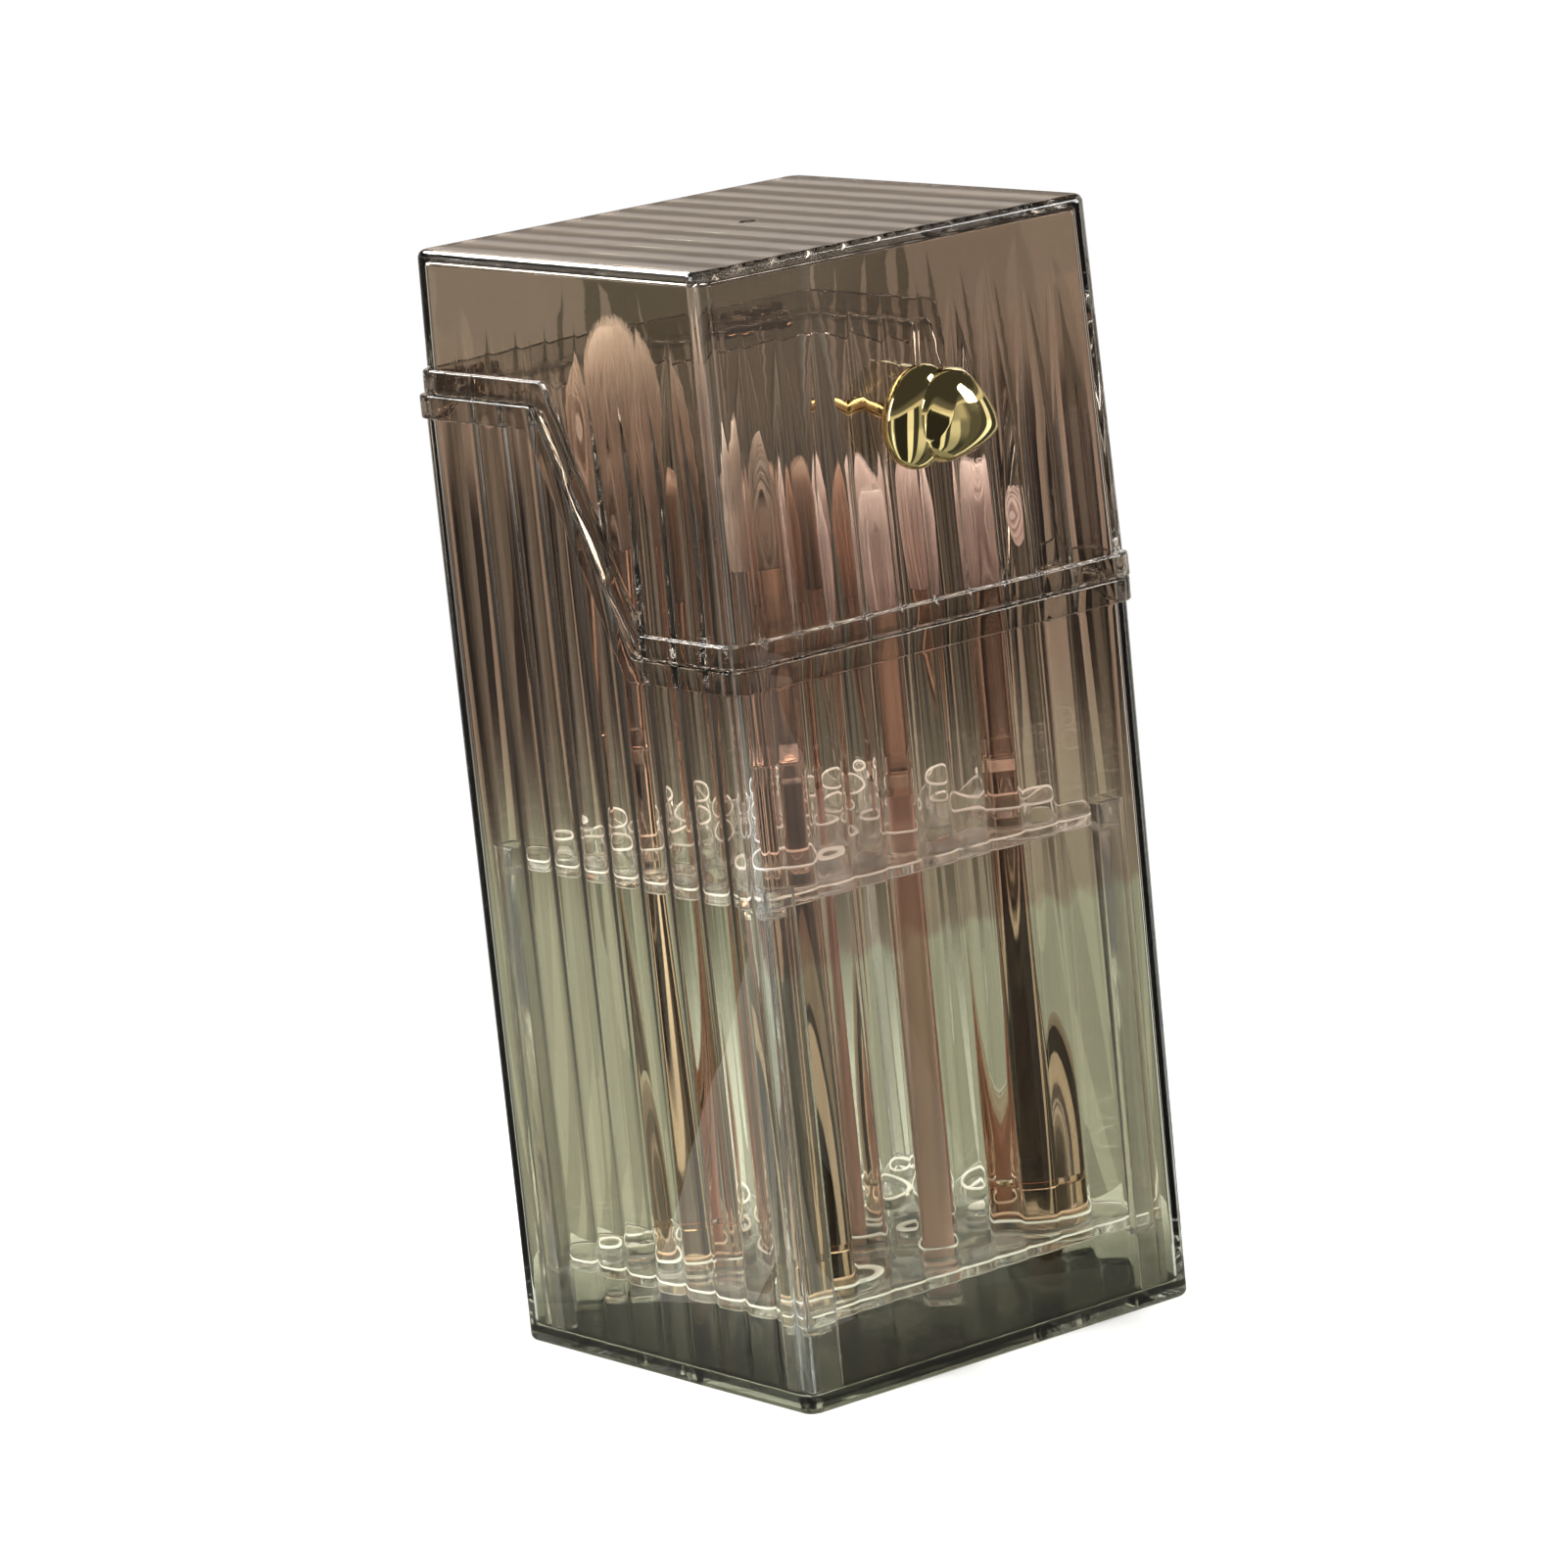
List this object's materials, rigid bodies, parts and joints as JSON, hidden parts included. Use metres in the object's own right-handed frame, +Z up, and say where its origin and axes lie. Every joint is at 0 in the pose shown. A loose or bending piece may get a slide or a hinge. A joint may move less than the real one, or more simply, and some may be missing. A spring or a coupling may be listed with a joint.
{
  "type": "makeup brush box",
  "caption": "Tall clear fluted box with a stepped flip-top lid, rear hinges and a gold knob, holding makeup brushes upright in a lift-out rack of two pierced trays.",
  "frame": {"origin": "centre of the case's flat underside", "axes": "+Z up, +Y towards the hinges at the rear, +X to the right seen from the knob's side"},
  "size_m": [0.102, 0.1158, 0.225],
  "materials": {
    "clear_case": "clear polished, tinted grey green",
    "clear_lid": "clear polished, tinted taupe",
    "clear_rack": "clear polished",
    "gold": "polished",
    "steel_pin": "satin",
    "rose_gold": "metallic, polished",
    "copper": "polished copper",
    "hair_tan": "soft hair",
    "hair_cream": "soft hair",
    "hair_pink": "soft hair",
    "hair_brown": "soft hair",
    "hair_copper": "soft hair"
  },
  "bodies": {
    "case": {"case": "clear_case", "hinge_pin_left": "steel_pin", "hinge_pin_right": "steel_pin"},
    "lid": {"lid": "clear_lid", "knob": "gold", "knob_stud": "gold", "knob_washer": "gold", "knob_nut": "gold"},
    "rack": {"rack_upper_tray": "clear_rack", "rack_lower_tray": "clear_rack", "rack_post_front_left": "clear_rack", "rack_post_front_right": "clear_rack", "rack_post_rear_left": "clear_rack", "rack_post_rear_right": "clear_rack"},
    "powder_brush": {"powder_end": "rose_gold", "powder_handle": "rose_gold", "powder_ferrule": "copper", "powder_bristles": "hair_tan"},
    "highlighter_brush": {"highlighter_end": "rose_gold", "highlighter_handle": "rose_gold", "highlighter_ferrule": "copper", "highlighter_bristles": "hair_cream"},
    "blush_brush": {"blush_end": "rose_gold", "blush_handle": "rose_gold", "blush_ferrule": "copper", "blush_bristles": "hair_pink"},
    "foundation_brush": {"foundation_end": "rose_gold", "foundation_handle": "rose_gold", "foundation_ferrule": "copper", "foundation_bristles": "hair_brown"},
    "contour_brush": {"contour_end": "rose_gold", "contour_handle": "rose_gold", "contour_ferrule": "copper", "contour_bristles": "hair_tan"},
    "eyeshadow_brush": {"eyeshadow_handle": "rose_gold", "eyeshadow_ferrule": "copper", "eyeshadow_bristles": "hair_pink"},
    "cheek_brush": {"cheek_handle": "rose_gold", "cheek_ferrule": "copper", "cheek_bristles": "hair_pink"},
    "blending_brush": {"blending_handle": "rose_gold", "blending_ferrule": "copper", "blending_bristles": "hair_copper"},
    "detail_brush": {"detail_handle": "rose_gold", "detail_ferrule": "copper", "detail_bristles": "hair_cream"}
  },
  "joints": [
    {"name": "lid_hinge", "type": "hinge", "parent": "case", "child": "lid", "pos_m": [0, 0.0518, 0.1963], "axis": [-1, 0, 0], "range_deg": [0, 110]},
    {"name": "rack_lift", "type": "slide", "parent": "case", "child": "rack", "axis": [0, 0, 1], "range_m": [0, 0.005]},
    {"name": "powder_lift", "type": "slide", "parent": "case", "child": "powder_brush", "axis": [0, 0, 1], "range_m": [0, 0.009]},
    {"name": "highlighter_lift", "type": "slide", "parent": "case", "child": "highlighter_brush", "axis": [0, 0, 1], "range_m": [0, 0.009]},
    {"name": "blush_lift", "type": "slide", "parent": "case", "child": "blush_brush", "axis": [0, 0, 1], "range_m": [0, 0.009]},
    {"name": "foundation_lift", "type": "slide", "parent": "case", "child": "foundation_brush", "axis": [0, 0, 1], "range_m": [0, 0.009]},
    {"name": "contour_lift", "type": "slide", "parent": "case", "child": "contour_brush", "axis": [0, 0, 1], "range_m": [0, 0.009]},
    {"name": "eyeshadow_lift", "type": "slide", "parent": "rack", "child": "eyeshadow_brush", "axis": [0, 0, 1], "range_m": [0, 0.006]},
    {"name": "cheek_lift", "type": "slide", "parent": "rack", "child": "cheek_brush", "axis": [0, 0, 1], "range_m": [0, 0.006]},
    {"name": "blending_lift", "type": "slide", "parent": "rack", "child": "blending_brush", "axis": [0, 0, 1], "range_m": [0, 0.006]},
    {"name": "detail_lift", "type": "slide", "parent": "rack", "child": "detail_brush", "axis": [0, 0, 1], "range_m": [0, 0.006]}
  ]
}
